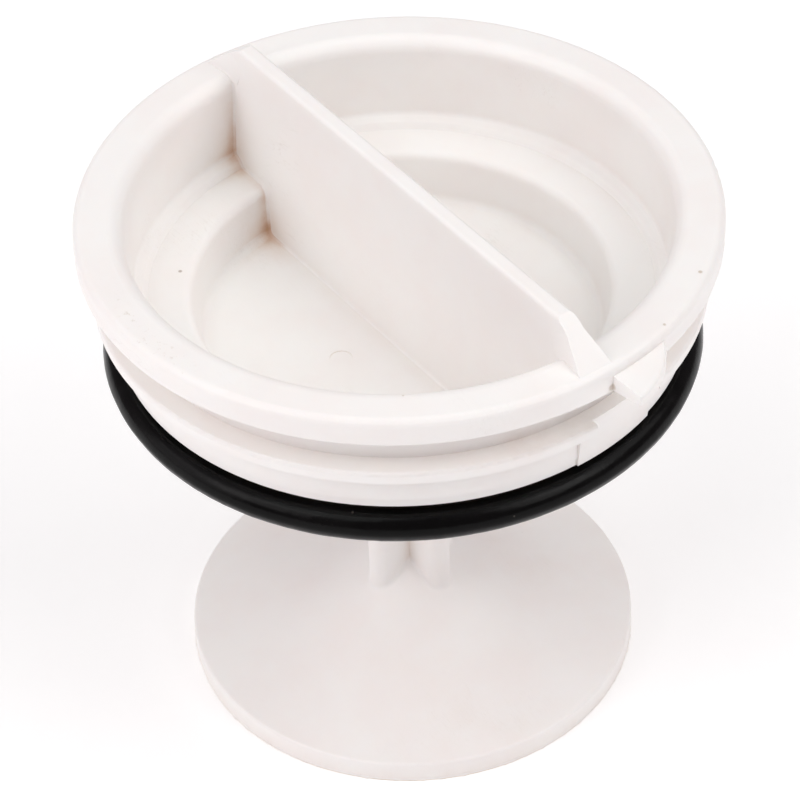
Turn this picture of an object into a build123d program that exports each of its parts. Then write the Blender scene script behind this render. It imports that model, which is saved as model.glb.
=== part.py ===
from build123d import *
import os
from math import cos, radians, sin

# Deck fill cap: a flanged cup with a grip web across it, a seal ring round its skirt, and a stem with a
# flared disc that hangs from a snap socket under the cup. Millimetres, +Z up. The origin is on the cap's
# axis in the plane that the disc stands on, and the grip web runs along X.

# Heights below are measured down from the rim's top face, then lifted by this amount.
RIM_HEIGHT = 59.5

# Flange and skirt, outside
FLANGE_RADIUS = 33.0
FLANGE_THICKNESS = 3.0
FLANGE_EDGE_ROUND = 0.8
SMALL_EDGE_ROUND = 0.3
BEAD_EDGE_ROUND = 0.35
NECK_RADIUS = 29.2
NECK_BOTTOM = 7.9
BEAD_RADIUS = 31.65
BEAD_BOTTOM = 9.1
BAND_RADIUS = 29.9
BAND_STEP_DEPTH = 12.9
BAND_FOOT_RADIUS = 29.7
BAND_BOTTOM = 13.9
GLAND_RADIUS = 27.65
GLAND_BOTTOM = 18.4
LIP_RADIUS = 28.6
LIP_HEIGHT = 0.5
LIP_TAPER_RADIUS = 27.2
SKIRT_BOTTOM = 20.4

# Stepped finger cup, inside
MOUTH_RADIUS = 28.0
MOUTH_ROUND = 1.6
WALL_FOOT_RADIUS = 27.6
LEDGE_DEPTH = 9.3
WALL_FOOT_ROUND = 0.5
LEDGE_INNER_RADIUS = 26.6
LEDGE_EDGE_ROUND = 0.35
SHELF_DEPTH = 10.4
LEDGE_FALL = 0.5
SHELF_OUTER_RADIUS = 26.1
WELL_TOP_RADIUS = 21.7
WELL_FLOOR_RADIUS = 20.8
FLOOR_DEPTH = 15.8
FLOOR_THICKNESS = 2.4
WELL_LIP_ROUND = 1.0
WELL_FOOT_ROUND = 0.8

# Hollow that keeps the skirt from being one thick lump
CORE_INNER_RADIUS = 23.2
CORE_OUTER_RADIUS = 25.8
CORE_TOP = 12.8
CORE_DRAFT = 0.6

# Grip web across the cup
WEB_RISE = 3.8
WEB_TOP_HALF_THICKNESS = 0.92
WEB_FLOOR_HALF_THICKNESS = 2.6
WEB_TOP_HALF_LENGTH = 27.2
WEB_BREAK_HALF_LENGTH = 28.4
WEB_BREAK_DROP = 0.7
WEB_FOOT_HALF_LENGTH = 32.3
WEB_EDGE_ROUND = 0.45
WEB_ROOT_FILLET = 0.3
WEB_RIM_SINK = 0.4
WEB_ROOT_TOP = 1.0

# How far the web's outline runs into the shell, so that the two are surely joined
BITE_AT_FLANGE = 0.7
BITE_AT_WALL = 0.4
BITE_AT_WELL = 0.6
BITE_BELOW_SHELF = 1.4

# Ramp feet that spread the web's two ends out over the rim
RAMP_TOP_HALF_THICKNESS = 0.85
RAMP_TOP_START = 26.0
RAMP_FOOT_HALF_THICKNESS = 2.1
RAMP_NECK_HALF_THICKNESS = 1.35
RAMP_FOOT_START = 27.4
RAMP_FOOT_END = 32.75
RAMP_SINK = 0.5

# Lug at the flange, a flat plate with a blunt side and a curved outer edge that runs into the flange
LUG_TOP = 1.0
LUG_TIP_RADIUS = 37.0
LUG_BLUNT_ANGLE = 2.6
LUG_MIDDLE_RADIUS = 35.9
LUG_MIDDLE_ANGLE = 8.4
LUG_TAPER_ANGLE = 15.5
LUG_TIP_THICKNESS = 1.3
LUG_ROOT_MARGIN = 0.2

# Smooth pad on the skirt under the lug, where the bead is left out
PAD_START_ANGLE = -0.6
PAD_END_ANGLE = 19.0
PAD_TOP_RADIUS = 30.7
PAD_FOOT_RADIUS = 29.95
BEAD_STOP_ANGLE = 1.5
BEAD_RESUME_ANGLE = 18.0
CUT_MARGIN = 0.5

# Shallow round mark of an ejector pin on the well's floor
EJECTOR_MARK_X = 0.7
EJECTOR_MARK_Y = -8.3
EJECTOR_MARK_RADIUS = 1.2
EJECTOR_MARK_DEPTH = 0.1

# Socket under the floor, for the stem
BOSS_RADIUS = 7.4
BOSS_BOTTOM = 30.0
BOSS_LIP_HEIGHT = 2.6
BOSS_CHAMFER = 0.4
BOSS_DRAFT = 0.6
BOSS_OVERLAP = 0.3
SPIGOT_RADIUS = 4.4
SPIGOT_HEAD_RADIUS = 5.2
SPIGOT_CLEARANCE = 0.3
SPIGOT_HEAD_HEIGHT = 3.4
SPIGOT_SLOT_WIDTH = 1.6
SPIGOT_OVERLAP = 0.5
SPIGOT_BARB_HEIGHT = 0.6
SPIGOT_TIP_TAPER = 0.8
SPIGOT_SLOT_END = 0.8

# Stem and disc
COLLAR_RADIUS = 7.0
COLLAR_THICKNESS = 2.2
COLLAR_CHAMFER = 0.5
FIN_RADIUS = 5.65
FIN_THICKNESS = 3.0
STEM_ANGLE = 7.6
DISC_RADIUS = 24.5
DISC_EDGE_THICKNESS = 2.5
DISC_EDGE_TOP = 57.0
FLARE_RADIUS = 6.2
FLARE_TOP = 50.95
CONE_TIP_RADIUS = 1.6
CONE_TIP_TOP = 47.4
DISC_WALL = 2.4
DISC_FOOT_WIDTH = 2.6
FIN_FOOT_FILLET = 0.5
UNDERSIDE_SAG = 0.1

# Seal ring
RING_CORD_RADIUS = 1.765
RING_CENTRE_RADIUS = 29.42
RING_CENTRE_DEPTH = 16.45


def at(radius, depth):
    """A point of a turned profile, given its radius and its depth below the rim."""
    return (radius, RIM_HEIGHT - depth)


def turned(points):
    """The solid made by turning a closed profile, in (radius, height), about the cap's axis."""
    return revolve(Plane.XZ * make_face(Polyline(*points, close=True)), Axis.Z)


def rounded(solid, radius, distance, depth):
    """Rounds every circular edge of a turned solid that lies at one radius and one depth."""
    height = RIM_HEIGHT - depth
    edges = [
        edge
        for edge in solid.edges().filter_by(GeomType.CIRCLE)
        if abs(edge.radius - radius) < 0.02 and abs(edge.center(CenterOf.BOUNDING_BOX).Z - height) < 0.02
    ]
    return fillet(edges, distance)


def cup_shell():
    """The turned shell: flange, neck, band, seal gland and skirt outside; mouth, shelf and well inside."""
    profile = [
        at(0, FLOOR_DEPTH),
        at(WELL_FLOOR_RADIUS, FLOOR_DEPTH),
        at(WELL_TOP_RADIUS, SHELF_DEPTH),
        at(SHELF_OUTER_RADIUS, SHELF_DEPTH),
        at(LEDGE_INNER_RADIUS, LEDGE_DEPTH + LEDGE_FALL),
        at(WALL_FOOT_RADIUS, LEDGE_DEPTH),
        at(MOUTH_RADIUS, 0),
        at(FLANGE_RADIUS, 0),
        at(FLANGE_RADIUS, FLANGE_THICKNESS),
        at(NECK_RADIUS, FLANGE_THICKNESS),
        at(NECK_RADIUS, NECK_BOTTOM),
        at(BEAD_RADIUS, NECK_BOTTOM),
        at(BEAD_RADIUS, BEAD_BOTTOM),
        at(BAND_RADIUS, BEAD_BOTTOM),
        at(BAND_RADIUS, BAND_STEP_DEPTH),
        at(BAND_FOOT_RADIUS, BAND_STEP_DEPTH),
        at(BAND_FOOT_RADIUS, BAND_BOTTOM),
        at(GLAND_RADIUS, BAND_BOTTOM),
        at(GLAND_RADIUS, GLAND_BOTTOM),
        at(LIP_RADIUS, GLAND_BOTTOM),
        at(LIP_RADIUS, GLAND_BOTTOM + LIP_HEIGHT),
        at(LIP_TAPER_RADIUS, SKIRT_BOTTOM),
        at(CORE_OUTER_RADIUS, SKIRT_BOTTOM),
        at(CORE_OUTER_RADIUS, CORE_TOP),
        at(CORE_INNER_RADIUS + CORE_DRAFT, CORE_TOP),
        at(CORE_INNER_RADIUS, FLOOR_DEPTH + FLOOR_THICKNESS),
        at(0, FLOOR_DEPTH + FLOOR_THICKNESS),
    ]
    shell = turned(profile)
    shell = rounded(shell, FLANGE_RADIUS, FLANGE_EDGE_ROUND, 0)
    shell = rounded(shell, FLANGE_RADIUS, SMALL_EDGE_ROUND, FLANGE_THICKNESS)
    shell = rounded(shell, MOUTH_RADIUS, MOUTH_ROUND, 0)
    shell = rounded(shell, BEAD_RADIUS, BEAD_EDGE_ROUND, NECK_BOTTOM)
    shell = rounded(shell, WALL_FOOT_RADIUS, WALL_FOOT_ROUND, LEDGE_DEPTH)
    shell = rounded(shell, LEDGE_INNER_RADIUS, LEDGE_EDGE_ROUND, LEDGE_DEPTH + LEDGE_FALL)
    shell = rounded(shell, WELL_TOP_RADIUS, WELL_LIP_ROUND, SHELF_DEPTH)
    return rounded(shell, WELL_FLOOR_RADIUS, WELL_FOOT_ROUND, FLOOR_DEPTH)


def grip_web():
    """The web: a tapered blade with sloping ends, trimmed to stay inside the shell's outline."""
    top = RIM_HEIGHT + WEB_RISE
    bottom = RIM_HEIGHT - FLOOR_DEPTH - FLOOR_THICKNESS / 2
    drop_to_floor = WEB_RISE + FLOOR_DEPTH
    spread = (WEB_FLOOR_HALF_THICKNESS - WEB_TOP_HALF_THICKNESS) / drop_to_floor
    bottom_half_thickness = WEB_TOP_HALF_THICKNESS + spread * (top - bottom)
    section = Polyline(
        (-bottom_half_thickness, bottom),
        (bottom_half_thickness, bottom),
        (WEB_TOP_HALF_THICKNESS, top),
        (-WEB_TOP_HALF_THICKNESS, top),
        close=True,
    )
    blade = extrude(Plane.YZ * make_face(section), WEB_FOOT_HALF_LENGTH, both=True)
    blade = fillet(blade.edges().filter_by(Axis.X).group_by(Axis.Z)[-1], WEB_EDGE_ROUND)
    # The outline seen from the side: a flat top, and ends that slope down into the rim's top face.
    outline = Polyline(
        (-WEB_TOP_HALF_LENGTH, top),
        (WEB_TOP_HALF_LENGTH, top),
        (WEB_BREAK_HALF_LENGTH, top - WEB_BREAK_DROP),
        (WEB_FOOT_HALF_LENGTH, RIM_HEIGHT - WEB_RIM_SINK),
        (MOUTH_RADIUS + BITE_AT_FLANGE, RIM_HEIGHT - FLANGE_THICKNESS),
        (MOUTH_RADIUS + BITE_AT_WALL, RIM_HEIGHT - SHELF_DEPTH),
        (WELL_TOP_RADIUS + BITE_AT_WELL, RIM_HEIGHT - SHELF_DEPTH - BITE_BELOW_SHELF),
        (WELL_FLOOR_RADIUS + BITE_AT_WELL, bottom),
        (-WELL_FLOOR_RADIUS - BITE_AT_WELL, bottom),
        (-WELL_TOP_RADIUS - BITE_AT_WELL, RIM_HEIGHT - SHELF_DEPTH - BITE_BELOW_SHELF),
        (-MOUTH_RADIUS - BITE_AT_WALL, RIM_HEIGHT - SHELF_DEPTH),
        (-MOUTH_RADIUS - BITE_AT_FLANGE, RIM_HEIGHT - FLANGE_THICKNESS),
        (-WEB_FOOT_HALF_LENGTH, RIM_HEIGHT - WEB_RIM_SINK),
        (-WEB_BREAK_HALF_LENGTH, top - WEB_BREAK_DROP),
        close=True,
    )
    side_view = extrude(Plane.XZ * make_face(outline), 2 * WEB_FLOOR_HALF_THICKNESS, both=True)
    return blade & side_view


def polar(radius, angle):
    """A point in plan, given its radius and its angle in degrees from the +X end of the web."""
    return (radius * cos(radians(angle)), radius * sin(radians(angle)))


def ramp_foot(side):
    """One end of the web (side is 1 or -1): a ramp that widens as it comes down onto the rim."""
    crest = Polyline(
        (side * RAMP_TOP_START, -RAMP_TOP_HALF_THICKNESS),
        (side * WEB_BREAK_HALF_LENGTH, -RAMP_TOP_HALF_THICKNESS),
        (side * WEB_BREAK_HALF_LENGTH, RAMP_TOP_HALF_THICKNESS),
        (side * RAMP_TOP_START, RAMP_TOP_HALF_THICKNESS),
        close=True,
    )
    foot = Polyline(
        (side * RAMP_FOOT_START, -RAMP_NECK_HALF_THICKNESS),
        (side * RAMP_FOOT_END, -RAMP_FOOT_HALF_THICKNESS),
        (side * RAMP_FOOT_END, RAMP_FOOT_HALF_THICKNESS),
        (side * RAMP_FOOT_START, RAMP_NECK_HALF_THICKNESS),
        close=True,
    )
    crest_face = Pos(0, 0, RIM_HEIGHT + WEB_RISE - WEB_BREAK_DROP) * make_face(crest)
    foot_face = Pos(0, 0, RIM_HEIGHT - RAMP_SINK) * make_face(foot)
    return loft([foot_face, crest_face], ruled=True)


def lug():
    """The lug: a flat plate as deep as the flange below it, blunt on one side and curved on the other."""
    root_radius = NECK_RADIUS
    outline = (
        Line(polar(root_radius, LUG_BLUNT_ANGLE), polar(LUG_TIP_RADIUS, LUG_BLUNT_ANGLE))
        + ThreePointArc(
            polar(LUG_TIP_RADIUS, LUG_BLUNT_ANGLE),
            polar(LUG_MIDDLE_RADIUS, LUG_MIDDLE_ANGLE),
            polar(FLANGE_RADIUS, LUG_TAPER_ANGLE),
        )
        + Line(polar(FLANGE_RADIUS, LUG_TAPER_ANGLE), polar(root_radius, LUG_TAPER_ANGLE))
        + Line(polar(root_radius, LUG_TAPER_ANGLE), polar(root_radius, LUG_BLUNT_ANGLE))
    )
    plate = extrude(
        Plane.XY.offset(RIM_HEIGHT - LUG_TOP) * make_face(outline), -(FLANGE_THICKNESS - LUG_TOP)
    )
    # The underside rises towards the tip, so the lug is thinner there than at the flange.
    thinning = turned([
        at(0, 0),
        at(LUG_TIP_RADIUS + CUT_MARGIN, 0),
        at(LUG_TIP_RADIUS + CUT_MARGIN, LUG_TOP + LUG_TIP_THICKNESS),
        at(LUG_TIP_RADIUS, LUG_TOP + LUG_TIP_THICKNESS),
        at(FLANGE_RADIUS, FLANGE_THICKNESS),
        at(0, FLANGE_THICKNESS),
    ])
    plate = plate & thinning
    outer_edges = [edge for edge in plate.edges() if edge.center().X > FLANGE_RADIUS + LUG_ROOT_MARGIN]
    return fillet(outer_edges, SMALL_EDGE_ROUND)


def sector(profile, start_angle, end_angle):
    """Part of a turned ring, from one angle to another, made by turning a profile part of the way round."""
    face = Plane.XZ * make_face(Polyline(*profile, close=True))
    return Rot(0, 0, start_angle) * revolve(face, Axis.Z, revolution_arc=end_angle - start_angle)


def skirt_pad():
    """The smooth conical pad on the skirt below the lug."""
    return sector(
        [
            at(NECK_RADIUS - CUT_MARGIN, NECK_BOTTOM),
            at(PAD_TOP_RADIUS, NECK_BOTTOM),
            at(PAD_FOOT_RADIUS, BAND_BOTTOM),
            at(NECK_RADIUS - CUT_MARGIN, BAND_BOTTOM),
        ],
        PAD_START_ANGLE,
        PAD_END_ANGLE,
    )


def bead_gap():
    """The stretch of bead that is left out below the lug."""
    return sector(
        [
            at(BAND_FOOT_RADIUS, NECK_BOTTOM - CUT_MARGIN),
            at(BEAD_RADIUS + CUT_MARGIN, NECK_BOTTOM - CUT_MARGIN),
            at(BEAD_RADIUS + CUT_MARGIN, BEAD_BOTTOM + CUT_MARGIN),
            at(BAND_FOOT_RADIUS, BEAD_BOTTOM + CUT_MARGIN),
        ],
        BEAD_STOP_ANGLE,
        BEAD_RESUME_ANGLE,
    )


def stem_socket():
    """The boss under the floor, with an inward lip at its mouth that holds the spigot's head."""
    bore = SPIGOT_RADIUS + SPIGOT_CLEARANCE
    chamber = SPIGOT_HEAD_RADIUS + SPIGOT_CLEARANCE
    floor_bottom = FLOOR_DEPTH + FLOOR_THICKNESS
    lip_top = BOSS_BOTTOM - BOSS_LIP_HEIGHT
    boss = turned([
        at(bore, BOSS_BOTTOM),
        at(BOSS_RADIUS - BOSS_CHAMFER, BOSS_BOTTOM),
        at(BOSS_RADIUS, BOSS_BOTTOM - BOSS_CHAMFER),
        at(BOSS_RADIUS + BOSS_DRAFT, floor_bottom - BOSS_OVERLAP),
        at(chamber, floor_bottom - BOSS_OVERLAP),
        at(chamber, lip_top),
        at(bore, lip_top),
    ])
    return boss


def cap_body():
    """The whole cap moulding, as one solid."""
    shell = cup_shell() - bead_gap() + skirt_pad()
    web = grip_web()
    body = shell + web
    # The web's root is rounded into the wall, ledge, shelf and floor, up to just below the rim.
    root_top = RIM_HEIGHT - WEB_ROOT_TOP
    root_edges = [
        edge
        for edge in new_edges(shell, web, combined=body)
        if edge.center(CenterOf.BOUNDING_BOX).Z < root_top
    ]
    body = fillet(root_edges, WEB_ROOT_FILLET) + ramp_foot(1) + ramp_foot(-1) + lug() + stem_socket()
    mark_height = RIM_HEIGHT - FLOOR_DEPTH
    mark = Pos(EJECTOR_MARK_X, EJECTOR_MARK_Y, mark_height) * Cylinder(
        EJECTOR_MARK_RADIUS, 2 * EJECTOR_MARK_DEPTH
    )
    return body - mark


def o_ring():
    """The seal ring, stretched a little round the floor of the gland."""
    section = Pos(*at(RING_CENTRE_RADIUS, RING_CENTRE_DEPTH)) * Circle(RING_CORD_RADIUS)
    return revolve(Plane.XZ * section, Axis.Z)


def spigot():
    """The split snap spigot on top of the stem: a round journal with a barbed head."""
    journal_top = BOSS_BOTTOM - BOSS_LIP_HEIGHT - SPIGOT_CLEARANCE
    pin = turned([
        at(0, BOSS_BOTTOM + SPIGOT_CLEARANCE + SPIGOT_OVERLAP),
        at(SPIGOT_RADIUS, BOSS_BOTTOM + SPIGOT_CLEARANCE + SPIGOT_OVERLAP),
        at(SPIGOT_RADIUS, journal_top),
        at(SPIGOT_HEAD_RADIUS, journal_top),
        at(SPIGOT_HEAD_RADIUS, journal_top - SPIGOT_BARB_HEIGHT),
        at(SPIGOT_RADIUS - SPIGOT_TIP_TAPER, journal_top - SPIGOT_HEAD_HEIGHT),
        at(0, journal_top - SPIGOT_HEAD_HEIGHT),
    ])
    slot_top = RIM_HEIGHT - journal_top + SPIGOT_HEAD_HEIGHT
    slot_bottom = RIM_HEIGHT - BOSS_BOTTOM + SPIGOT_SLOT_END
    slot_height = slot_top - slot_bottom
    slot = Pos(0, 0, slot_bottom + slot_height / 2) * Box(
        SPIGOT_SLOT_WIDTH, 3 * SPIGOT_HEAD_RADIUS, slot_height
    )
    return pin - slot


def stem_fins(bottom_depth):
    """The cross-shaped stem, with round-ended fins, from the collar down into the disc."""
    top_depth = BOSS_BOTTOM + SPIGOT_CLEARANCE
    length = bottom_depth - top_depth
    reach = 2 * FIN_RADIUS
    base = Plane.XY.offset(RIM_HEIGHT - bottom_depth)
    cross = SlotOverall(reach, FIN_THICKNESS) + SlotOverall(reach, FIN_THICKNESS, rotation=90)
    return extrude(base * cross, length)


def stem_collar():
    """The thrust collar that bears on the socket's mouth."""
    top = BOSS_BOTTOM + SPIGOT_CLEARANCE
    return turned([
        at(0, top + COLLAR_THICKNESS),
        at(COLLAR_RADIUS - COLLAR_CHAMFER, top + COLLAR_THICKNESS),
        at(COLLAR_RADIUS, top + COLLAR_THICKNESS - COLLAR_CHAMFER),
        at(COLLAR_RADIUS, top),
        at(0, top),
    ])


def flared_disc():
    """The disc: a hollow cone of even wall, concave on top, with a flat foot round its edge."""
    edge_bottom = DISC_EDGE_TOP + DISC_EDGE_THICKNESS
    foot_radius = DISC_RADIUS - DISC_FOOT_WIDTH
    under_radius = (FLARE_RADIUS + foot_radius) / 2
    under_depth = (FLARE_TOP + DISC_WALL + edge_bottom) / 2
    under_middle = at(under_radius, under_depth - UNDERSIDE_SAG)
    outline = (
        Line(at(0, CONE_TIP_TOP), at(CONE_TIP_RADIUS, CONE_TIP_TOP))
        + ThreePointArc(
            at(CONE_TIP_RADIUS, CONE_TIP_TOP), at(FLARE_RADIUS, FLARE_TOP), at(DISC_RADIUS, DISC_EDGE_TOP)
        )
        + Line(at(DISC_RADIUS, DISC_EDGE_TOP), at(DISC_RADIUS, edge_bottom))
        + Line(at(DISC_RADIUS, edge_bottom), at(foot_radius, edge_bottom))
        + ThreePointArc(
            at(foot_radius, edge_bottom), under_middle, at(FLARE_RADIUS, FLARE_TOP + DISC_WALL)
        )
        + Line(at(FLARE_RADIUS, FLARE_TOP + DISC_WALL), at(0, FLARE_TOP + DISC_WALL))
        + Line(at(0, FLARE_TOP + DISC_WALL), at(0, CONE_TIP_TOP))
    )
    disc = revolve(Plane.XZ * make_face(outline), Axis.Z)
    disc = rounded(disc, DISC_RADIUS, SMALL_EDGE_ROUND, DISC_EDGE_TOP)
    return rounded(disc, DISC_RADIUS, SMALL_EDGE_ROUND, edge_bottom)


def stem_and_disc():
    """The whole stem moulding, as one solid, turned to the angle at which it was snapped in."""
    disc = flared_disc()
    fins = stem_fins(FLARE_TOP + DISC_WALL / 2)
    foot = disc + fins
    foot = fillet(new_edges(disc, fins, combined=foot), FIN_FOOT_FILLET)
    return Rot(0, 0, STEM_ANGLE) * (foot + stem_collar() + spigot())


os.makedirs("parts", exist_ok=True)
NODES = {
    "cap_body": cap_body(),
    "o_ring": o_ring(),
    "stem_and_disc": stem_and_disc(),
}
for name, solid in NODES.items():
    export_step(solid, f"parts/{name}.step")
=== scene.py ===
import math

import bmesh
import bpy
from mathutils import Matrix, Vector, noise


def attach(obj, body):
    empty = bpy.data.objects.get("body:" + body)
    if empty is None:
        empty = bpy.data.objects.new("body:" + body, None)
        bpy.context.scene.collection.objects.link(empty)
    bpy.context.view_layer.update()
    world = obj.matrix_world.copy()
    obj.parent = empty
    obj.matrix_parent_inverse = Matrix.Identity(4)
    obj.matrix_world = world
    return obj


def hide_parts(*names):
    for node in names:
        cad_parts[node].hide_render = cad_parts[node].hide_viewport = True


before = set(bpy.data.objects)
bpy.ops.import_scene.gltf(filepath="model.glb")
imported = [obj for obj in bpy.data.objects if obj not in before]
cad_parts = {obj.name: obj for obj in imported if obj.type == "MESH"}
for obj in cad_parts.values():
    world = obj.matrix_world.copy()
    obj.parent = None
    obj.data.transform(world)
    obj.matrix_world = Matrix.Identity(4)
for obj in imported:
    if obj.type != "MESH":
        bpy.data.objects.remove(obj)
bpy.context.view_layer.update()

MM = 0.001

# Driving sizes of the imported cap, in metres.
FLANGE_RADIUS = 0.033
RIM_HEIGHT = 0.0595


# ---------------------------------------------------------------- camera and studio

# Where the camera stands and how far it is rolled, in degrees.
CAMERA_AZIMUTH = 55.6
CAMERA_ELEVATION = 41.8
CAMERA_ROLL = -2.1
# How far away it is, and what it aims at from the middle of the rim, in flange radii.
CAMERA_DISTANCE = 10.894
CAMERA_AIM = (-0.0095, -0.0139, -0.8055)
# Its sensor's width in millimetres, and its focal length in sensor widths.
SENSOR_WIDTH = 36
FOCAL_RATIO = 4.231
NEAREST_SEEN = 0.01

WORLD_COLOUR = (1, 0.885, 0.93, 1)
WORLD_STRENGTH = 0.31

# The soft lights: name, azimuth from the camera's, elevation, distance, size, strength and colour.
SOFTBOXES = (
    ("above_behind", 180, 72, 0.9, 0.7, 0.86, (0.9, 1, 0.96)),
    ("overhead", 0, 88, 0.9, 0.7, 0.25, (0.9, 1, 0.96)),
    ("left_front", -57, 35, 0.85, 0.5, 1.57, (1, 0.97, 0.975)),
    ("left_top", -40, 60, 0.9, 0.5, 1.45, (0.93, 0.98, 0.96)),
    ("right_front", 57, 40, 0.85, 0.5, 1.90, (0.97, 0.97, 0.96)),
    ("left_low", -80, 20, 0.8, 0.6, 1.00, (1, 0.98, 0.99)),
    ("left_high", -85, 50, 0.9, 0.7, 0.44, (1, 0.96, 0.98)),
    ("right_high", 85, 50, 0.9, 0.7, 1.30, (1, 1, 1)),
)

FLOOR_RADIUS = 2.5
FLOOR_SIDES = 96
FLOOR_COLOUR = (0.95, 0.95, 0.95, 1)
FLOOR_GLOW_COLOUR = (1, 1, 1, 1)
FLOOR_GLOW = 0.16
FLOOR_ROUGHNESS = 0.9
FLOOR_SPECULAR = 0.2


def direction(azimuth, elevation):
    """The unit vector from the object towards a point at that azimuth and elevation, in degrees."""
    a, e = math.radians(azimuth), math.radians(elevation)
    return Vector((math.sin(a) * math.cos(e), -math.cos(a) * math.cos(e), math.sin(e)))


def make_camera():
    """A long lens, a little over 40 degrees above the cap."""
    target = Vector((0, 0, RIM_HEIGHT)) + FLANGE_RADIUS * Vector(CAMERA_AIM)
    back = direction(CAMERA_AZIMUTH, CAMERA_ELEVATION)
    data = bpy.data.cameras.new("camera")
    data.sensor_width = SENSOR_WIDTH
    data.lens = SENSOR_WIDTH * FOCAL_RATIO
    data.clip_start = NEAREST_SEEN
    camera = bpy.data.objects.new("camera", data)
    aim = (-back).to_track_quat("-Z", "Y").to_matrix().to_4x4()
    place = Matrix.Translation(target + CAMERA_DISTANCE * FLANGE_RADIUS * back)
    camera.matrix_world = place @ aim @ Matrix.Rotation(math.radians(CAMERA_ROLL), 4, "Z")
    bpy.context.scene.collection.objects.link(camera)
    bpy.context.scene.camera = camera


def make_softbox(name, azimuth, elevation, distance, size, strength, colour):
    """A square area light that faces the cap; strength is the radiance of its face."""
    data = bpy.data.lights.new(name, "AREA")
    data.shape = "SQUARE"
    data.size = size
    data.color = colour
    data.energy = strength * math.pi * size * size
    light = bpy.data.objects.new(name, data)
    towards = direction(azimuth, elevation)
    light.location = distance * towards + Vector((0, 0, RIM_HEIGHT))
    light.rotation_mode = "QUATERNION"
    light.rotation_quaternion = (-towards).to_track_quat("-Z", "Y")
    bpy.context.scene.collection.objects.link(light)


def make_studio():
    """An even, slightly rosy surround and large soft lights."""
    scene = bpy.context.scene
    scene.view_settings.view_transform = "Standard"
    world = bpy.data.worlds.new("studio")
    world.use_nodes = True
    background = world.node_tree.nodes["Background"]
    background.inputs["Color"].default_value = WORLD_COLOUR
    background.inputs["Strength"].default_value = WORLD_STRENGTH
    scene.world = world
    for name, from_camera, *settings in SOFTBOXES:
        make_softbox(name, CAMERA_AZIMUTH + from_camera, *settings)


def make_floor():
    """One plain pale floor, as wide as a studio table."""
    bpy.ops.mesh.primitive_circle_add(vertices=FLOOR_SIDES, radius=FLOOR_RADIUS, fill_type="NGON")
    floor = bpy.context.active_object
    floor.name = "floor"
    material = bpy.data.materials.new("pale_floor")
    material.use_nodes = True
    shader = material.node_tree.nodes["Principled BSDF"]
    shader.inputs["Base Color"].default_value = FLOOR_COLOUR
    shader.inputs["Emission Color"].default_value = FLOOR_GLOW_COLOUR
    shader.inputs["Emission Strength"].default_value = FLOOR_GLOW
    shader.inputs["Roughness"].default_value = FLOOR_ROUGHNESS
    shader.inputs["Specular IOR Level"].default_value = FLOOR_SPECULAR
    floor.data.materials.append(material)


# ---------------------------------------------------------------- material tools

HOLLOW_SAMPLES = 8


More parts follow.
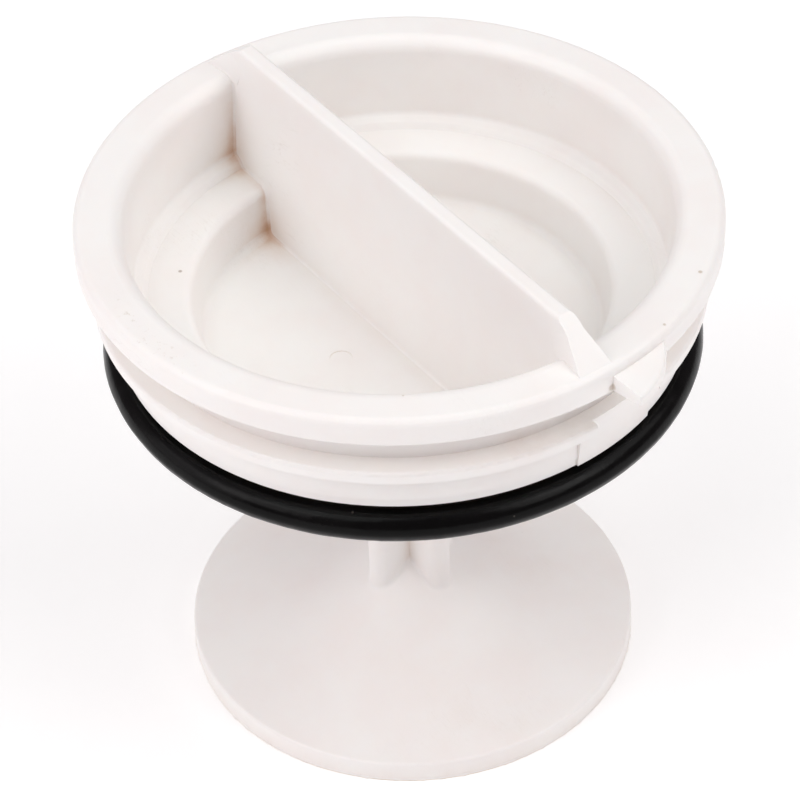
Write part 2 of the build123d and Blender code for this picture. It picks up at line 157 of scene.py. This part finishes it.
class Graph:
    """A material's node tree, with short ways to add nodes and join them."""

    def __init__(self, name):
        self.material = bpy.data.materials.new(name)
        self.material.use_nodes = True
        self.tree = self.material.node_tree
        self.shader = self.tree.nodes["Principled BSDF"]
        coordinates = self.tree.nodes.new("ShaderNodeTexCoord")
        self.position = coordinates.outputs["Object"]

    def put(self, socket, value):
        """Sets a socket from a number or a colour, or joins another node's output to it."""
        if isinstance(value, bpy.types.NodeSocket):
            self.tree.links.new(value, socket)
        else:
            socket.default_value = value

    def math(self, operation, first, second=0.0, third=0.0):
        """One step of arithmetic."""
        node = self.tree.nodes.new("ShaderNodeMath")
        node.operation = operation
        for socket, value in zip(node.inputs, (first, second, third)):
            self.put(socket, value)
        return node.outputs[0]

    def times(self, first, *others):
        """The product of two or more values."""
        for other in others:
            first = self.math("MULTIPLY", first, other)
        return first

    def ramp(self, value, low, high, start=0.0, end=1.0):
        """Maps low..high smoothly onto start..end, and holds the ends."""
        node = self.tree.nodes.new("ShaderNodeMapRange")
        node.interpolation_type = "SMOOTHSTEP"
        for name, setting in zip(("Value", "From Min", "From Max", "To Min", "To Max"),
                                 (value, low, high, start, end)):
            self.put(node.inputs[name], setting)
        return node.outputs["Result"]

    def window(self, value, low, high, soft):
        """1 between low and high, falling to 0 over a soft margin."""
        rise = self.ramp(value, low - soft, low + soft)
        fall = self.ramp(value, high - soft, high + soft, 1.0, 0.0)
        return self.times(rise, fall)

    def scaled(self, scale):
        """The position, stretched by a factor on each axis."""
        node = self.tree.nodes.new("ShaderNodeVectorMath")
        node.operation = "MULTIPLY"
        self.put(node.inputs[0], self.position)
        self.put(node.inputs[1], scale)
        return node.outputs[0]

    def noise(self, scale, detail=3.0, roughness=0.55, vector=None):
        """A cloudy texture; its scale is per metre."""
        node = self.tree.nodes.new("ShaderNodeTexNoise")
        self.put(node.inputs["Vector"], vector or self.position)
        self.put(node.inputs["Scale"], scale)
        self.put(node.inputs["Detail"], detail)
        self.put(node.inputs["Roughness"], roughness)
        return node.outputs["Fac"]

    def cells(self, scale):
        """The distance to the nearest of many scattered points, and a random number for each point."""
        node = self.tree.nodes.new("ShaderNodeTexVoronoi")
        self.put(node.inputs["Vector"], self.position)
        self.put(node.inputs["Scale"], scale)
        split = self.tree.nodes.new("ShaderNodeSeparateColor")
        self.put(split.inputs["Color"], node.outputs["Color"])
        return node.outputs["Distance"], split.outputs["Red"]

    def mix(self, amount, first, second):
        """The first colour, with that amount of the second over it."""
        node = self.tree.nodes.new("ShaderNodeMix")
        node.data_type = "RGBA"
        self.put(node.inputs["Factor"], amount)
        for name, colour in (("A", first), ("B", second)):
            socket = [each for each in node.inputs if each.name == name and each.type == "RGBA"][0]
            self.put(socket, (*colour, 1.0) if isinstance(colour, tuple) else colour)
        return [each for each in node.outputs if each.type == "RGBA"][0]

    def hollows(self, reach):
        """Near 1 deep in a corner or a channel, 0 on open faces."""
        node = self.tree.nodes.new("ShaderNodeAmbientOcclusion")
        node.samples = HOLLOW_SAMPLES
        self.put(node.inputs["Distance"], reach)
        return self.math("SUBTRACT", 1.0, node.outputs["AO"])

    def joined(self, x, y, z):
        """A vector from its three parts."""
        node = self.tree.nodes.new("ShaderNodeCombineXYZ")
        for socket, value in zip(node.inputs, (x, y, z)):
            self.put(socket, value)
        return node.outputs[0]

    def parts(self):
        """The position's x, y and height."""
        split = self.tree.nodes.new("ShaderNodeSeparateXYZ")
        self.put(split.inputs[0], self.position)
        return split.outputs

    def radius(self):
        """The distance from the cap's axis."""
        x, y, _ = self.parts()
        return self.math("SQRT", self.math("ADD", self.times(x, x), self.times(y, y)))

    def angle(self):
        """The angle round the cap's axis, in degrees from +X."""
        x, y, _ = self.parts()
        return self.times(self.math("ARCTAN2", y, x), 180 / math.pi)

    def depth(self):
        """The depth below the rim, in millimetres."""
        _, _, height = self.parts()
        return self.times(self.math("SUBTRACT", RIM_HEIGHT, height), 1 / MM)

    def spot(self, place, size):
        """A soft round spot of a given radius, at a place, both in millimetres."""
        node = self.tree.nodes.new("ShaderNodeVectorMath")
        node.operation = "DISTANCE"
        self.put(node.inputs[0], self.position)
        self.put(node.inputs[1], Vector(place) * MM)
        return self.ramp(node.outputs["Value"], 0.4 * size * MM, size * MM, 1.0, 0.0)

    def bump(self, height, depth, previous=None):
        """A bump layer, its full depth given in metres."""
        node = self.tree.nodes.new("ShaderNodeBump")
        self.put(node.inputs["Strength"], 1.0)
        self.put(node.inputs["Distance"], depth)
        self.put(node.inputs["Height"], height)
        if previous is not None:
            self.put(node.inputs["Normal"], previous)
        return node.outputs["Normal"]

    def finish(self, colour, roughness, normal, specular=0.5):
        """Joins the finished values to the shader."""
        self.put(self.shader.inputs["Base Color"], colour)
        self.put(self.shader.inputs["Roughness"], roughness)
        self.put(self.shader.inputs["Normal"], normal)
        self.put(self.shader.inputs["Specular IOR Level"], specular)
        return self.material


# ---------------------------------------------------------------- plastic

WHITE = (0.925, 0.908, 0.888)
WARM_WHITE = (0.915, 0.878, 0.856)
SHADE_AND_SMUDGE_BEIGE = (0.72, 0.56, 0.42)
DIRT_AND_SHADE_BROWN = (0.42, 0.31, 0.19)
SPOT_BROWN = (0.22, 0.13, 0.07)
SCRATCH_BEIGE = (0.62, 0.56, 0.5)
RUST = (0.56, 0.28, 0.13)

# Scales of the plastic's textures, per metre.
CLOUDS_SCALE = 110
PATCHES_SCALE = 420
SPECKS_SCALE = 260
SCRATCHES_STRETCH = (240, 3800, 900)
WEAR_SCALE = 75
GLOSS_SCALE = 300
LATHE_RINGS_SCALE = 2600
RIPPLE_SCALE = 130
GRAIN_SCALE = 2600

# Depths of the plastic's relief.
RIPPLE_DEPTH = 0.05 * MM
LATHE_RINGS_DEPTH = 0.004 * MM
GRAIN_DEPTH = 0.006 * MM
SCRATCHES_DEPTH = 0.012 * MM

# How far corners reach: for the painted beige shade in them, and for the rust.
HOLLOW_SHADE_REACH = 6 * MM
RUST_REACH = 3.5 * MM

# How strong each mark is where it is strongest.
OUTSIDE_HOLLOW_SHADE = 0.12
SPECK_STRENGTH = 0.55
SCRATCH_TINT = 0.35
SCRATCH_ROUGHNESS = 0.2
CHANNEL_SHADE_STRENGTH = 0.13
SCUFF_STRENGTH = 0.4
SPOT_STRENGTH = 0.6
CORNER_RUST_STRENGTH = 0.85
CREASE_RUST_STRENGTH = 0.75
WEB_SIDE_SHADE_CUT = 0.7
CAP_SCRATCHES = 0.8
STEM_SCRATCHES = 0.5
STEM_SMUDGE_SCALE = 70
STEM_SMUDGE_STRENGTH = 0.12

# Light goes a little way into the plastic, red furthest.
TRANSLUCENCY = 0.1
TRANSLUCENCY_RADIUS = (1.0, 0.75, 0.6)
TRANSLUCENCY_SCALE = 1.2 * MM

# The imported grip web: its height over the rim, half its thickness at the top, and its spread per depth.
WEB_RISE = 3.8 * MM
WEB_TOP_HALF_THICKNESS = 0.92 * MM
WEB_SPREAD = 1.68 / 19.6

# Brown specks that stand out on the cap, in millimetres: place and radius.
CAP_SPOTS = (
    ((32.9, 1.4, 57.2), 0.6),
    ((29.0, -1.8, 62.4), 0.35),
    ((29.6, -1.6, 61.6), 0.25),
    ((33.0, -2.9, 56.5), 0.35),
    ((23.8, -16.6, 59.5), 0.2),
    ((26.1, -12.0, 59.5), 0.2),
    ((6.9, -27.4, 59.2), 0.28),
    ((26.9, 17.2, 59.5), 0.3),
    ((30.9, 9.4, 59.4), 0.25),
)


def plastic_specks(graph):
    """Sparse specks: small dots round a few of many scattered points."""
    distance, pick = graph.cells(SPECKS_SCALE)
    dot = graph.ramp(distance, 0.035, 0.075, 1.0, 0.0)
    chosen = graph.ramp(pick, 0.955, 0.96)
    return graph.times(dot, chosen, SPECK_STRENGTH)


def plastic_scratches(graph):
    """Fine scratches in worn patches: the thin crests of a noise that is drawn out along one line."""
    drawn_out = graph.noise(1.0, 2, 0.5, graph.scaled(SCRATCHES_STRETCH))
    from_crest = graph.math("ABSOLUTE", graph.math("SUBTRACT", drawn_out, 0.5))
    worn = graph.ramp(graph.noise(WEAR_SCALE, 2), 0.55, 0.75)
    return graph.times(graph.ramp(from_crest, 0.0, 0.012, 1.0, 0.0), worn)


def plastic_relief(graph, scratch):
    """Slight ripples, the faint rings of a mould that was turned on a lathe, grain and scratches."""
    rings = graph.noise(1.0, 2, 0.6, graph.joined(graph.times(graph.radius(), LATHE_RINGS_SCALE), 0.0, 0.0))
    ripple = graph.bump(graph.noise(RIPPLE_SCALE, 2), RIPPLE_DEPTH)
    turned = graph.bump(rings, LATHE_RINGS_DEPTH, ripple)
    grain = graph.bump(graph.noise(GRAIN_SCALE, 3), GRAIN_DEPTH, turned)
    return graph.bump(graph.math("SUBTRACT", 1.0, scratch), SCRATCHES_DEPTH, grain)


def plastic_surface(graph, stains_and_shade, scratch_amount, hollow_shade_share=1.0):
    """Moulded white plastic: clouded colour, painted beige shade in the hollows, specks, fine scratches and
    uneven gloss.
    """
    clouds = graph.noise(CLOUDS_SCALE, 4)
    colour = graph.mix(graph.ramp(clouds, 0.35, 0.7), WHITE, WARM_WHITE)
    # Painted shade: the hollows are tinted a darker beige, fully inside the cup and only a little in those
    # outside it.
    inside = graph.ramp(graph.radius(), 28 * MM, 28.8 * MM, 1.0, OUTSIDE_HOLLOW_SHADE)
    corner = graph.times(graph.ramp(graph.hollows(HOLLOW_SHADE_REACH), 0.34, 0.86), inside, hollow_shade_share)
    uneven = graph.ramp(graph.noise(PATCHES_SCALE, 5, 0.6), 0.3, 0.65, 0.55, 1.0)
    # The painted beige shade in the hollows goes on first, then the marks in the list.
    for amount, tint_colour in [(corner, SHADE_AND_SMUDGE_BEIGE)] + stains_and_shade:
        colour = graph.mix(graph.times(amount, uneven), colour, tint_colour)
    colour = graph.mix(plastic_specks(graph), colour, SPOT_BROWN)
    scratch = graph.times(plastic_scratches(graph), scratch_amount)
    colour = graph.mix(graph.times(scratch, SCRATCH_TINT), colour, SCRATCH_BEIGE)
    gloss = graph.ramp(graph.noise(GLOSS_SCALE, 4), 0.3, 0.7, 0.36, 0.5)
    rough = graph.math("ADD", gloss, graph.times(scratch, SCRATCH_ROUGHNESS))
    graph.shader.inputs["Subsurface Weight"].default_value = TRANSLUCENCY
    graph.shader.inputs["Subsurface Radius"].default_value = TRANSLUCENCY_RADIUS
    graph.shader.inputs["Subsurface Scale"].default_value = TRANSLUCENCY_SCALE
    return graph.finish(colour, rough, plastic_relief(graph, scratch))


def channel_shade(graph):
    """Painted brown shade in the channel between the flange and the bead, strongest towards the lug."""
    outside = graph.ramp(graph.radius(), 28.9 * MM, 29.1 * MM)
    channel = graph.window(graph.depth(), 3.2, 8.3, 0.3)
    arc = graph.window(graph.angle(), -16, 10, 5)
    patchiness = graph.ramp(graph.noise(260, 5, 0.65), 0.35, 0.7, 0.25, 1.0)
    return graph.times(outside, channel, arc, patchiness, CHANNEL_SHADE_STRENGTH)


def cup_inside(graph):
    """1 on the surfaces of the finger cup, 0 outside it and under it."""
    radius = graph.radius()
    # The cup is deepest in its well, and shallower from the shelf outwards.
    deepest = graph.ramp(radius, 22.3 * MM, 22.8 * MM, 17.0, 11.6)
    above = graph.ramp(graph.math("SUBTRACT", graph.depth(), deepest), -0.3, 0.3, 1.0, 0.0)
    return graph.times(above, graph.ramp(radius, 28.3 * MM, 28.7 * MM, 1.0, 0.0))


def web_clearance(graph):
    """How far a point is out from the plane of the web's nearer side; the side itself is at 0."""
    _, y, height = graph.parts()
    drop = graph.math("SUBTRACT", RIM_HEIGHT + WEB_RISE, height)
    side = graph.math("MULTIPLY_ADD", drop, WEB_SPREAD, WEB_TOP_HALF_THICKNESS)
    return graph.math("SUBTRACT", graph.math("ABSOLUTE", y), side)


def corner_rust(graph):
    """Soft rust-brown stains in the corners at the end of the web away from the lug."""
    x, y, _ = graph.parts()
    depth = graph.depth()
    end = graph.ramp(x, -20.5 * MM, -17 * MM, 1.0, 0.0)
    near_web = graph.ramp(graph.math("ABSOLUTE", y), 3 * MM, 6.5 * MM, 1.0, 0.0)
    # The web's own side stays clean: the stain starts in the crease and fades out across the wall.
    beyond = web_clearance(graph)
    beside = graph.ramp(beyond, 0.01 * MM, 0.06 * MM)
    fading = graph.ramp(beyond, 0.1 * MM, 1.4 * MM, CREASE_RUST_STRENGTH, 0.0)
    over_ledge = graph.window(depth, 6.5, 9.4, 1.8)
    over_floor = graph.window(depth, 14.2, 16.5, 1.2)
    crease = graph.times(graph.math("MAXIMUM", over_ledge, over_floor), fading)
    corners = graph.times(graph.ramp(graph.hollows(RUST_REACH), 0.36, 0.68), CORNER_RUST_STRENGTH)
    stain = graph.math("MAXIMUM", corners, crease)
    below_rim = graph.ramp(depth, 1.5, 5.0)
    return graph.times(stain, end, near_web, beside, below_rim, cup_inside(graph))


def rim_scuffs(graph):
    """Small dark scuffs on the rim's top, in a patch away from the web."""
    _, _, height = graph.parts()
    ring = graph.window(graph.radius(), 30.6 * MM, 32.7 * MM, 0.3 * MM)
    arc = graph.window(graph.angle(), -97, -76, 7)
    top = graph.ramp(height, RIM_HEIGHT - 1.2 * MM, RIM_HEIGHT - 0.8 * MM)
    flecks = graph.ramp(graph.noise(1500, 3, 0.7), 0.6, 0.72)
    return graph.times(ring, arc, top, flecks, SCUFF_STRENGTH)


def cap_plastic():
    """The cap's plastic, with its dirt spots, scuffs, brown specks and rust stains, painted beige shade in
    its hollows and painted brown shade in the channel under the flange.
    """
    graph = Graph("cap_plastic_wear_and_painted_shade")
    # Real dirt spots and scuffs share one brown with the painted shade in the channel under the flange.
    grime_and_shade = graph.math("MAXIMUM", channel_shade(graph), rim_scuffs(graph))
    for place, size in CAP_SPOTS:
        grime_and_shade = graph.math("MAXIMUM", grime_and_shade, graph.times(graph.spot(place, size), SPOT_STRENGTH))
    # The painted hollow shade is kept weaker on the web's sides than on the walls that they run into.
    web_side = graph.ramp(web_clearance(graph), 0.0, 0.1 * MM, WEB_SIDE_SHADE_CUT, 0.0)
    hollow_shade_share = graph.math("SUBTRACT", 1.0, graph.times(web_side, cup_inside(graph)))
    return plastic_surface(graph, [(grime_and_shade, DIRT_AND_SHADE_BROWN), (corner_rust(graph), RUST)], CAP_SCRATCHES, hollow_shade_share)


def stem_plastic():
    """The stem's plastic, a little cleaner than the cap's."""
    graph = Graph("stem_plastic_wear_and_painted_shade")
    smudge = graph.ramp(graph.noise(STEM_SMUDGE_SCALE, 5, 0.6), 0.58, 0.85, 0.0, STEM_SMUDGE_STRENGTH)
    # Besides the smudge, plastic_surface paints beige shade into the stem's hollows.
    return plastic_surface(graph, [(smudge, SHADE_AND_SMUDGE_BEIGE)], STEM_SCRATCHES)


# ---------------------------------------------------------------- rubber

BLACK = (0.0015, 0.0015, 0.0015)
WARM_BLACK = (0.004, 0.0037, 0.0037)
DUST_GREY = (0.1, 0.09, 0.08)
DUST_STRENGTH = 0.35
RUBBER_SPECULAR = 0.11

# Scales of the rubber's textures, per metre, and depths of its relief.
RUBBER_CLOUDS_SCALE = 150
DUST_SCALE = 900
SHEEN_SCALE = 500
STREAKS_SCALE = 400
STREAKS_DEPTH = 0.02 * MM
FLOW_SCALE = 3200
FLOW_DEPTH = 0.008 * MM


def seal_rubber():
    """Black rubber: a soft, slightly streaked sheen, dust in its pores and a fine flow texture."""
    graph = Graph("seal_rubber_worn")
    clouds = graph.noise(RUBBER_CLOUDS_SCALE, 4)
    colour = graph.mix(graph.ramp(clouds, 0.35, 0.75), BLACK, WARM_BLACK)
    distance, pick = graph.cells(DUST_SCALE)
    dust = graph.times(graph.ramp(distance, 0.05, 0.16, 1.0, 0.0), graph.ramp(pick, 0.93, 0.95))
    colour = graph.mix(graph.times(dust, DUST_STRENGTH), colour, DUST_GREY)
    rough = graph.ramp(graph.noise(SHEEN_SCALE, 4), 0.3, 0.7, 0.16, 0.26)
    streaks = graph.bump(graph.noise(STREAKS_SCALE, 3), STREAKS_DEPTH)
    normal = graph.bump(graph.noise(FLOW_SCALE, 3), FLOW_DEPTH, streaks)
    return graph.finish(colour, rough, normal, RUBBER_SPECULAR)


def assign(node, material):
    """Gives a CAD node its visual material; its mesh stays as it is."""
    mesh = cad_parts[node].data
    mesh.materials.clear()
    mesh.materials.append(material)


# ---------------------------------------------------------------- added details

RING_CORD_RADIUS = 1.765 * MM
RING_CENTRE_RADIUS = 29.42 * MM
RING_CENTRE_HEIGHT = RIM_HEIGHT - 16.45 * MM
RING_STEPS_AROUND = 480
RING_STEPS_ACROSS = 40
RING_SWELL = 0.02 * MM
RING_SWELL_PACE = 9
RING_LUMP = 0.018 * MM
RING_RIDGE = 0.05 * MM
RING_RIDGE_WIDTH = 0.015

DISC_RADIUS = 24.5 * MM
FLASH_STEPS_AROUND = 720
FLASH_LEAST_REACH = 0.03 * MM
FLASH_EXTRA_REACH = 0.16 * MM
FLASH_ROOT_DEPTH = 0.35 * MM


def link_mesh(name, build, material, body):
    """Makes an object from a bmesh, smooth shaded, and ties it to a body and a material slot."""
    mesh = bpy.data.meshes.new(name)
    bmesh.ops.recalc_face_normals(build, faces=build.faces)
    build.to_mesh(mesh)
    build.free()
    for polygon in mesh.polygons:
        polygon.use_smooth = True
    mesh.materials.append(material)
    piece = bpy.data.objects.new(name, mesh)
    bpy.context.scene.collection.objects.link(piece)
    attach(piece, body)
    return piece


def loop_mesh(sections):
    """A closed tube round the axis, from one list of (radius, angle, height) points for each section."""
    build = bmesh.new()
    rows = []
    for section in sections:
        row = [build.verts.new((r * math.cos(a), r * math.sin(a), z)) for r, a, z in section]
        rows.append(row)
    for index, row in enumerate(rows):
        following = rows[(index + 1) % len(rows)]
        for corner in range(len(row)):
            after = (corner + 1) % len(row)
            build.faces.new((row[corner], row[after], following[after], following[corner]))
    return build


def make_ring(material):
    """The seal ring, with the thin mould-parting ridge and the small lumps of a used rubber ring."""
    sections = []
    for step in range(RING_STEPS_AROUND):
        angle = 2 * math.pi * step / RING_STEPS_AROUND
        spot = Vector((math.cos(angle), math.sin(angle), 0)) * RING_SWELL_PACE
        swell = RING_SWELL * noise.noise(spot)
        section = []
        for corner in range(RING_STEPS_ACROSS):
            turn = 2 * math.pi * corner / RING_STEPS_ACROSS
            lump = RING_LUMP * noise.noise(spot * 6 + Vector((0, 0, 3 * math.cos(turn))))
            # The two halves of the mould meet on the inner and the outer side of the cord.
            nearness = max(0.0, abs(math.cos(turn)) - (1 - RING_RIDGE_WIDTH)) / RING_RIDGE_WIDTH
            cord = RING_CORD_RADIUS + swell + lump + RING_RIDGE * nearness
            radius = RING_CENTRE_RADIUS + cord * math.cos(turn)
            section.append((radius, angle, RING_CENTRE_HEIGHT + cord * math.sin(turn)))
        sections.append(section)
    ring = link_mesh("o_ring_rubber", loop_mesh(sections), material, "cap")
    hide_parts("o_ring")


def make_disc_flash(material):
    """The ragged sliver of moulding flash left round the disc's foot."""
    inner = DISC_RADIUS - FLASH_ROOT_DEPTH
    sections = []
    for step in range(FLASH_STEPS_AROUND):
        angle = 2 * math.pi * step / FLASH_STEPS_AROUND
        spot = Vector((math.cos(angle), math.sin(angle), 0))
        ragged = max(0.0, noise.noise(spot * 22) + 0.35 * noise.noise(spot * 75))
        reach = FLASH_LEAST_REACH + FLASH_EXTRA_REACH * ragged
        sections.append([
            (inner, angle, 0.02 * MM),
            (DISC_RADIUS + reach, angle, 0.03 * MM),
            (DISC_RADIUS + 0.9 * reach, angle, 0.12 * MM),
            (DISC_RADIUS - 0.03 * MM, angle, 0.42 * MM),
            (inner, angle, 0.45 * MM),
        ])
    link_mesh("disc_foot_flash", loop_mesh(sections), material, "stem")


make_camera()
make_studio()
make_floor()
assign("cap_body", cap_plastic())
disc_material = stem_plastic()
assign("stem_and_disc", disc_material)
rubber = seal_rubber()
assign("o_ring", rubber)
make_ring(rubber)
make_disc_flash(disc_material)
